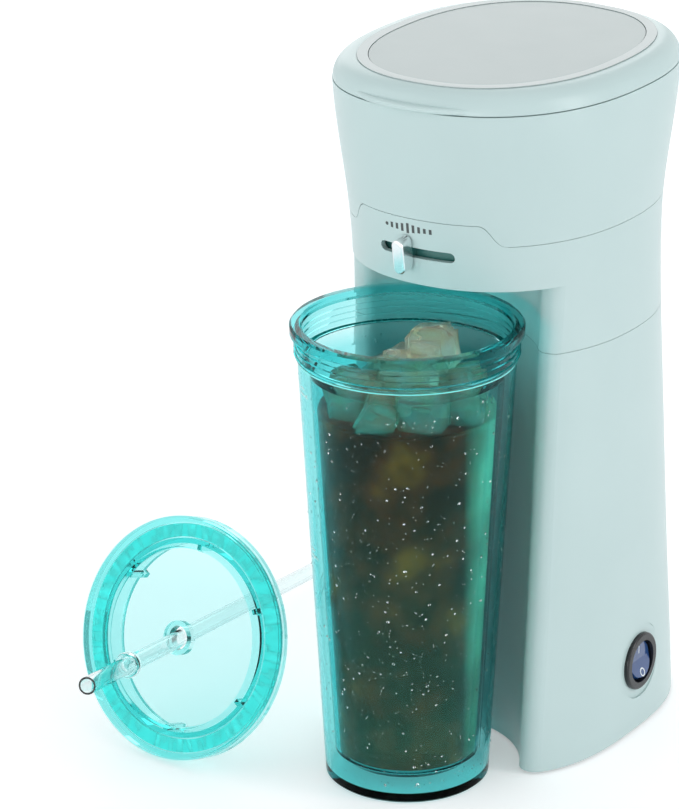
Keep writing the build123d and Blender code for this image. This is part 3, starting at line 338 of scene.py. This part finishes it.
# %% [markdown]
# ## Clear teal plastic
# The tumbler, its lid and its straw are tinted all the way through, so their colour comes from
# depth: light that crosses a thin wall keeps nearly all its colour, and light that runs along a rim
# or round a curved edge comes out deep teal. A volume that absorbs red does exactly that, with an
# almost colourless surface around it. In such a renderer clear plastic also throws a shadow as
# black as wood, so rays that only ask for shadow pass through a tint instead. Each metre of the
# volume takes away density times (1 - colour) of the light, so a colour near 1 stays. The seal in
# the loose lid and the ring between the tumbler's two walls are small and plain teal.

# %% A recipe for clear plastic


def clear_plastic(name, tint, density, ior, gloss, shade):
    """Clear plastic. The volume's tint and density absorb; shade colours the light in its shadow."""
    material = finish(name, (0.97, 0.99, 0.99), (0.95, 0.98, 0.98), rough=(0.01, 0.03), cloud=0.04,
                      bump=0.0, Transmission_Weight=1.0, IOR=ior, Specular_IOR_Level=gloss)
    tree = material.node_tree
    depth = tree.nodes.new("ShaderNodeVolumeAbsorption")
    depth.inputs["Color"].default_value = (*tint, 1)
    depth.inputs["Density"].default_value = density
    tree.links.new(depth.outputs[0], tree.nodes["Material Output"].inputs["Volume"])
    path = tree.nodes.new("ShaderNodeLightPath")
    passing = tree.nodes.new("ShaderNodeBsdfTransparent")
    passing.inputs["Color"].default_value = (*shade, 1)
    choose = tree.nodes.new("ShaderNodeMixShader")
    tree.links.new(path.outputs["Is Shadow Ray"], choose.inputs[0])
    tree.links.new(tree.nodes["Principled BSDF"].outputs[0], choose.inputs[1])
    tree.links.new(passing.outputs[0], choose.inputs[2])
    tree.links.new(choose.outputs[0], tree.nodes["Material Output"].inputs["Surface"])
    return material


print("clear plastic absorbs in its volume and lets shadow rays through")

# %% [markdown]
# The tumbler has two walls with air between them, and the light has to cross four to get out
# again. Bending each ray as strongly as real plastic does, by an IOR near 1.5, would fill the walls
# with dark mirror images of the room. The lower values here keep the drink readable through them.

# %% Tint the tumbler, its lid and its straw
CUP_TEAL = (0.04, 0.82, 0.83)
CUP_SHADE = (0.60, 1.0, 1.0)
outer_teal = clear_plastic("outer_teal", CUP_TEAL, 195, ior=1.12, gloss=0.3, shade=CUP_SHADE)
coat(outer_teal, "tumbler_outer")
liner_teal = clear_plastic("liner_teal", CUP_TEAL, 340, ior=1.20, gloss=0.3, shade=CUP_SHADE)
coat(liner_teal, "tumbler_liner")
LID_TEAL = (0.16, 0.885, 0.875)
LID_SHADE = (0.85, 0.98, 0.98)
lid_teal = clear_plastic("lid_teal", LID_TEAL, 220, ior=1.28, gloss=0.35, shade=LID_SHADE)
coat(lid_teal, "tumbler_lid")
gasket_teal = finish("gasket_teal", (0.30, 0.98, 0.95), (0.26, 0.95, 0.92), rough=(0.3, 0.4), bump=0.0)
coat(gasket_teal, "cap_gasket", "weld_ring")
STRAW_TEAL = (0.45, 0.75, 0.76)
STRAW_SHADE = (0.9, 0.97, 0.97)
straw_clear = clear_plastic("straw_clear", STRAW_TEAL, 140, ior=1.36, gloss=0.4, shade=STRAW_SHADE)
coat(straw_clear, "straw", "straw_collar")
print("clear parts: tumbler, lid and straw")

# %% [markdown]
# ## Building shapes by hand
# The next pieces are small meshes made here. One helper turns lists of points and faces into an
# object that rides on a body of the frame, and another builds a turned shape, such as the drink,
# from its outline.

# %% Helpers for meshes


def piece(name, points, faces, material, body, slot=None, smooth=True):
    """A new object that rides on a body of the frame."""
    mesh = bpy.data.meshes.new(name)
    mesh.from_pydata([tuple(point) for point in points], [], faces)
    mesh.update()
    made = bpy.data.objects.new(name, mesh)
    scene.collection.objects.link(made)
    mesh.materials.append(material)
    if smooth:
        mesh.shade_smooth()
    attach(made, body)


def turned(outline, centre, steps=96):
    """Points and faces of a shape turned about an upright line from (radius, height) pairs."""
    points, faces = [], []
    for radius, height in outline:
        for step in range(steps):
            turn = 2 * pi * step / steps
            points.append((centre[0] + radius * cos(turn), centre[1] + radius * sin(turn), height))
    for row in range(len(outline) - 1):
        for step in range(steps):
            after = (step + 1) % steps
            low, high = row * steps, (row + 1) * steps
            faces.append((low + step, low + after, high + after, high + step))
    faces.append(tuple(reversed(range(steps))))
    faces.append(tuple(range(len(points) - steps, len(points))))
    return points, faces


print("mesh helpers: piece and turned")

# %% [markdown]
# ## The drink
# The inner cup is filled with coffee to a little under its neck. The drink is a solid of its own
# that keeps a hair's breadth from the wall, because two surfaces in one place flicker. Its radius
# follows from the tumbler's own sizes: the taper of the outer wall, the two walls and the gap
# between them.

# %% Measure the tumbler
TUMBLER_AT = (0.0, -0.0705)
FOOT_R = 0.0309
JOINT_R = 0.0402
JOINT_Z = 0.1662
OUTER_WALL = 0.0019
WALL_GAP = 0.0022
LINER_WALL = 0.0017
LEVEL = 0.1475


def cup_radius(height):
    """The outside of the tumbler at a height, from its foot to where its neck begins."""
    return FOOT_R + (JOINT_R - FOOT_R) * height / JOINT_Z


def wall_radius(height):
    """The inside of the inner cup at a height."""
    return cup_radius(height) - OUTER_WALL - WALL_GAP - LINER_WALL


print("drink to", LEVEL, "m, radius at the top", round(wall_radius(LEVEL), 4))

# %% [markdown]
# Iced coffee isn't one brown. Melting ice leaves amber clouds in it. The drink is also painted paler
# towards the bottom, and the side that faces the camera's right is painted paler still: that is
# painted light, standing in for light that comes through the clear walls. A clear brown volume would
# be closer to the truth, but inside two clear walls it takes very many samples to come out clean. A
# matt solid with painted clouds looks the same from a step away.

# %% Mix the coffee
AMBER = (0.80, 0.085, 0.008)
BROWN = (0.33, 0.022, 0.004)
BLACK_COFFEE = (0.12, 0.009, 0.002)
# a pale colour, painted towards the bottom and, as painted light, along the camera's right side
PALE_AND_PAINTED_LIGHT = (0.66, 0.62, 0.40)
PAINTED_LIGHT_SIDE = Vector((0.84, 0.54, 0))
PALER_DEPTHS = (0.135, 0.03)
PALER_DEEP = 0.15
PAINTED_LIGHT_FROM, PAINTED_LIGHT_FULL = 0.020, 0.030
PAINTED_LIGHT_STRENGTH = 2.0
PALE_CLOUD = 0.030


def drink_finish():
    """Dark coffee with amber clouds, paler towards the bottom, with painted light along one side."""
    material = finish("iced_coffee", AMBER, BLACK_COFFEE, rough=(0.25, 0.4), cloud=0.022, bump=0.0,
                      Specular_IOR_Level=0.05)
    tree = material.node_tree
    shader = tree.nodes["Principled BSDF"]
    ramp = next(node for node in tree.nodes if node.type == "VALTORGB")
    ramp.color_ramp.elements[0].position = 0.40
    ramp.color_ramp.elements[1].position = 0.72
    middle = ramp.color_ramp.elements.new(0.56)
    middle.color = (*BROWN, 1)
    place = tree.nodes.new("ShaderNodeTexCoord")
    axes = tree.nodes.new("ShaderNodeSeparateXYZ")
    tree.links.new(place.outputs["Object"], axes.inputs[0])
    depth = mapped(tree, axes.outputs["Z"], PALER_DEPTHS, (0.0, PALER_DEEP))
    # painted light: the drink turns paler along the side that faces the camera's right
    across = tree.nodes.new("ShaderNodeVectorMath")
    across.operation = "DOT_PRODUCT"
    across.inputs[1].default_value = PAINTED_LIGHT_SIDE
    tree.links.new(place.outputs["Object"], across.inputs[0])
    middle_at = Vector((*TUMBLER_AT, 0)).dot(PAINTED_LIGHT_SIDE)
    painted_light_span = (middle_at + PAINTED_LIGHT_FROM, middle_at + PAINTED_LIGHT_FULL)
    side = mapped(tree, across.outputs["Value"], painted_light_span, (0.0, PAINTED_LIGHT_STRENGTH))
    both = combined(tree, "ADD", depth, side)
    uneven = combined(tree, "MULTIPLY", both, noise_of(tree, PALE_CLOUD))
    pale_and_lit_mix = tree.nodes.new("ShaderNodeMix")
    pale_and_lit_mix.data_type = "RGBA"
    pale_and_lit_mix.inputs[7].default_value = (*PALE_AND_PAINTED_LIGHT, 1)
    tree.links.new(uneven, pale_and_lit_mix.inputs[0])
    tree.links.new(ramp.outputs["Color"], pale_and_lit_mix.inputs[6])
    tree.links.new(pale_and_lit_mix.outputs[2], shader.inputs["Base Color"])
    return material


print("melt water shows from", PAINTED_LIGHT_FROM, "m to the side of the middle")

# %% [markdown]
# The drink's outline runs along the rounded bottom and the sloping wall, and its rim creeps a
# little way up the wall, as any liquid does. Turning it about the tumbler's upright line makes the
# solid.

# %% Pour the drink
GAP = 0.0002
BOTTOM_R, BOTTOM_Z = 0.0225, 0.0096
CORNER_WALL_Z, CORNER_Z = 0.0108, 0.0112
CREEP_WIDE, CREEP_TALL = 0.0015, 0.0004
outline = [(BOTTOM_R, BOTTOM_Z + GAP), (wall_radius(CORNER_WALL_Z) - GAP, CORNER_Z)]
outline += [(wall_radius(z / 1000) - GAP, z / 1000) for z in range(20, 147, 14)]
outline += [(wall_radius(LEVEL) - GAP, LEVEL), (wall_radius(LEVEL) - CREEP_WIDE, LEVEL - CREEP_TALL)]
piece("iced_drink", *turned(outline, TUMBLER_AT), drink_finish(), "tumbler")
print("the drink's outline has", len(outline), "points")

# %% [markdown]
# ## Ice
# Ice from a tray is a block with rounded edges and a slightly dented skin. A cube is bevelled,
# divided and pushed about by noise. The blocks float at the top, tilted each its own way, and the
# amber tint in their colour is a painted reflection of the coffee around them.

# %% Shape a block of ice
ICE_ROUND = 0.16
ICE_DENT = 0.09
DENTS_PER_M = 130


def ice_block(size, seed):
    """The points and faces of one block, centred on nothing."""
    shape = bmesh.new()
    bmesh.ops.create_cube(shape, size=size)
    bmesh.ops.bevel(shape, geom=shape.edges[:], offset=size * ICE_ROUND, segments=3, affect="EDGES")
    bmesh.ops.triangulate(shape, faces=[face for face in shape.faces if len(face.verts) > 4])
    bmesh.ops.subdivide_edges(shape, edges=shape.edges[:], cuts=1, use_grid_fill=True)
    for corner in shape.verts:
        push = noise.noise(corner.co * DENTS_PER_M + Vector((seed, 0, 0)))
        corner.co += corner.co.normalized() * push * size * ICE_DENT
    points = [corner.co.copy() for corner in shape.verts]
    faces = [tuple(corner.index for corner in face.verts) for face in shape.faces]
    shape.free()
    return points, faces


print("one block has", len(ice_block(0.018, 0)[0]), "points")

# %% [markdown]
# A physics run could drop the blocks into the cup, but then a small change moves them all. Ten
# blocks are few enough to list one by one: four round the middle, four small ones in the gaps, and
# two on top that reach into the neck.

# %% Float the ice
ICE_TILT = 0.5
# where each block floats, from the tumbler's axis, and its size, in millimetres
ICE = (
    (14, 14, 152, 19), (-15, 12, 151, 18), (-12, -15, 152, 19), (15, -13, 151, 18), (1, 0, 158, 21),
    (0, 22, 150, 14), (-24, -2, 150, 14), (24, 1, 150, 14), (3, -24, 150, 14), (6, 8, 168, 17),
)
chance = Random(7)
points, faces = [], []
for number, (x, y, z, size) in enumerate(ICE):
    block, sides = ice_block(size / 1000, number)
    spin = Matrix.Rotation(chance.uniform(0, pi), 3, "Z")
    spin = spin @ Matrix.Rotation(chance.uniform(-ICE_TILT, ICE_TILT), 3, "X")
    start = len(points)
    place = Vector((TUMBLER_AT[0] + x / 1000, TUMBLER_AT[1] + y / 1000, z / 1000))
    points += [spin @ point + place for point in block]
    faces += [tuple(start + corner for corner in side) for side in sides]
# the amber in the darker colour is a painted reflection of the coffee
ice_clear = finish("ice", (0.98, 0.98, 0.93), (0.96, 0.84, 0.56), rough=(0.04, 0.15), cloud=0.008,
                   bump=0.0, Transmission_Weight=0.78, IOR=1.24)
piece("ice_blocks", points, faces, ice_clear, "tumbler")
print(len(ICE), "blocks of ice,", len(points), "points")

# %% [markdown]
# ## Marks that are printed on the surface
# The strength scale is a row of small bars over the lever, and the tumbler carries two plain fill
# marks, each a long line and a short one. Each is a thin slab whose points are found by casting a
# ray at the part that carries it, so that it lies on the curved wall and stands out by less than a
# tenth of a millimetre.

# %% Project marks onto a part


def surface_of(name):
    """A search tree over a part of the frame, for casting rays."""
    shape = bmesh.new()
    shape.from_mesh(nodes[name].data)
    tree = BVHTree.FromBMesh(shape)
    shape.free()
    return tree


PROUD = 0.00006
RAY_START = 0.2


def printed(name, outlines, part, cast, material, body):
    """Thin slabs on a part. An outline is a list of pairs; cast turns a pair into a ray."""
    skin = surface_of(part)
    points, faces = [], []
    for outline in outlines:
        start = len(points)
        for depth in (PROUD, -PROUD):
            for pair in outline:
                origin, aim = cast(pair)
                spot = skin.ray_cast(origin, aim)[0]
                points.append(spot - aim * depth)
        count = len(outline)
        faces.append(tuple(range(start, start + count)))
        faces.append(tuple(start + 2 * count - 1 - step for step in range(count)))
        for step in range(count):
            after = (step + 1) % count
            faces.append((start + step, start + count + step, start + count + after, start + after))
    piece(name, points, faces, material, body, smooth=False)
    print(name, "has", len(outlines), "marks")


print("marks stand", PROUD, "m proud of their part")

# %% [markdown]
# Two outlines are enough for all flat marks: a bar, which can be split into steps so that it
# follows a curved wall, and a round dot.

# %% Outlines for marks


def bar(x, z, wide, tall, steps=1):
    """An upright or level bar as an outline. More steps let a wide bar follow a curved wall."""
    low = [(x - wide / 2 + wide * step / steps, z - tall / 2) for step in range(steps + 1)]
    high = [(a, z + tall / 2) for a, _ in reversed(low)]
    return low + high


def disc(x, z, radius, steps=20):
    """A round dot as an outline."""
    turns = [2 * pi * step / steps for step in range(steps)]
    return [(x + radius * cos(turn), z + radius * sin(turn)) for turn in turns]


print("a bar in two steps has", len(bar(0, 0, 1, 1, 2)), "corners")

# %% [markdown]
# The scale on the real machine is a row of bars that rises and falls like a hill. It could be cut
# into the housing's mesh or painted in its material. Separate thin slabs leave the housing's mesh
# alone and keep sharp edges at any distance.

# %% Print the strength scale
FIRST_BAR_X = -0.0095
BAR_PITCH = 0.00237
BAR_WIDE = 0.0011
BAR_TALL_MM = (2.1, 2.3, 3.0, 3.9, 3.0, 2.4, 1.9, 1.9)
SCALE_Z = 0.2139
DOT_R = 0.0007
print_grey = finish("print_grey", (0.07, 0.085, 0.085), (0.055, 0.065, 0.065), rough=(0.4, 0.5),
                    bump=0.0)
bars = [
    bar(FIRST_BAR_X + BAR_PITCH * step, SCALE_Z, BAR_WIDE, tall / 1000)
    for step, tall in enumerate(BAR_TALL_MM)
]
bars.append(disc(FIRST_BAR_X - BAR_PITCH, SCALE_Z, DOT_R))


def from_front(pair):
    """A ray that runs backwards from in front of the housing. The pair is (x, z)."""
    return Vector((pair[0], -RAY_START, pair[1])), Vector((0, 1, 0))


printed("strength_scale", bars, "middle_shell", from_front, print_grey, "root")

# %% [markdown]
# The tumbler's marks lie on its outer wall. Their rays come in level towards the tumbler's axis,
# and an outline's first number is a turn round the tumbler instead of a distance.

# %% Print the fill lines
mark_white = finish("mark_white", (0.55, 0.80, 0.78), (0.50, 0.76, 0.74), rough=(0.3, 0.4), bump=0.0)
MARK_TURN = radians(-128)
MARK_TALL = 0.0007
LONG_TURN, SHORT_TURN = 0.20, 0.10
SHORT_ASIDE = 0.03
OUTSIDE = 0.1


def towards_axis(pair):
    """A level ray from outside the tumbler to its axis. The pair is (turn, z)."""
    out = Vector((cos(pair[0]), sin(pair[0]), 0))
    return Vector((*TUMBLER_AT, pair[1])) + out * OUTSIDE, -out


marks = []
for long_z, short_z in ((0.1560, 0.1585), (0.0920, 0.0945)):
    marks.append(bar(MARK_TURN, long_z, LONG_TURN, MARK_TALL, 6))
    marks.append(bar(MARK_TURN - SHORT_ASIDE, short_z, SHORT_TURN, MARK_TALL, 4))
printed("fill_lines", marks, "tumbler_outer", towards_axis, mark_white, "tumbler")

# %% [markdown]
# The rocker carries the two signs that every such switch has: a ring for off and a line for on.
# They are moulded in white on its two sloping faces.

# %% Mark the rocker
mark_pale = finish("mark_pale", (0.80, 0.86, 0.90), (0.75, 0.82, 0.86), rough=(0.3, 0.4), bump=0.0)
ROCKER_Y, ROCKER_Z = 0.0075, 0.028
SIGN_OFF_CENTRE = 0.0045
SIGN_WIDE = 0.0005
RING_R = 0.0014
LINE_TALL = 0.0030


def from_side(pair):
    """A ray that runs inwards from the right of the housing. The pair is (y, z)."""
    return Vector((RAY_START, pair[0], pair[1])), Vector((-1, 0, 0))


def ring_parts(y, z, radius, wide, steps=24):
    """A ring as a chain of small four-sided slabs."""
    parts = []
    for step in range(steps):
        a, b = 2 * pi * step / steps, 2 * pi * (step + 1) / steps
        inner, outer = radius - wide / 2, radius + wide / 2
        around = ((inner, a), (outer, a), (outer, b), (inner, b))
        parts.append([(y + r * cos(t), z + r * sin(t)) for r, t in around])
    return parts


signs = ring_parts(ROCKER_Y, ROCKER_Z - SIGN_OFF_CENTRE, RING_R, SIGN_WIDE)
signs.append(bar(ROCKER_Y, ROCKER_Z + SIGN_OFF_CENTRE, SIGN_WIDE, LINE_TALL))
printed("rocker_signs", signs, "rocker", from_side, mark_pale, "rocker_button")

# %% [markdown]
# ## Water drops on the cold tumbler
# Moist air leaves drops on a cold wall: very many tiny ones and a few large ones that start to
# run. A bump in the plastic could fake them, but a real drop bends the light behind it, and that
# is how the eye knows it. So each drop is a small flattened dome of water.

# %% Shape a drop


def dome(radius, long, lift, rings=3, sides=8):
    """A drop that lies on the plane x = 0 and bulges towards +x."""
    points = []
    for row in range(rings):
        angle = pi / 2 * row / rings
        wide, tall = radius * cos(angle), long * cos(angle)
        for side in range(sides):
            turn = 2 * pi * side / sides
            points.append(Vector((lift * sin(angle), wide * cos(turn), tall * sin(turn))))
    points.append(Vector((lift, 0, 0)))
    faces = [tuple(reversed(range(sides)))]
    for row in range(rings - 1):
        for side in range(sides):
            after = (side + 1) % sides
            low, high = row * sides, (row + 1) * sides
            faces.append((low + side, low + after, high + after, high + side))
    top = (rings - 1) * sides
    faces += [(top + side, top + (side + 1) % sides, len(points) - 1) for side in range(sides)]
    return points, faces


print("one drop has", len(dome(1, 1, 1)[1]), "faces")

# %% [markdown]
# All drops are one mesh, which is far quicker than thousands of objects. They are placed by a
# seeded random number, so that every run gives the same drops. A high power of a random number is
# nearly always close to 0, so large drops are rare.

# %% Scatter the drops
DROPS = 2600
LOWEST, SPAN = 0.006, 0.156
SMALLEST, SPREAD = 0.00016, 0.00045
RARENESS = 9
RUNS_FROM, STRETCH = 0.0006, 0.8
LIFT_SHARE = 0.55
SUNK = 0.00002

chance = Random(11)
points, faces = [], []
for number in range(DROPS):
    turn = chance.uniform(-pi, pi)
    height = LOWEST + SPAN * chance.random()
    size = SMALLEST + SPREAD * chance.random() ** RARENESS
    tall = size * (1 + STRETCH * chance.random() * (size > RUNS_FROM))
    shape, sides = dome(size, tall, size * LIFT_SHARE)
    spin = Matrix.Rotation(turn, 3, "Z")
    place = Vector((TUMBLER_AT[0], TUMBLER_AT[1], height))
    place += spin @ Vector((cup_radius(height) - SUNK, 0, 0))
    start = len(points)
    points += [spin @ point + place for point in shape]
    faces += [tuple(start + corner for corner in side) for side in sides]
water = finish("water", (0.95, 0.99, 0.99), (0.92, 0.98, 0.98), rough=(0.0, 0.02), bump=0.0,
               Transmission_Weight=1.0, IOR=1.33, Specular_IOR_Level=0.35)
piece("water_drops", points, faces, water, "tumbler")
print(DROPS, "drops with", len(faces), "faces")
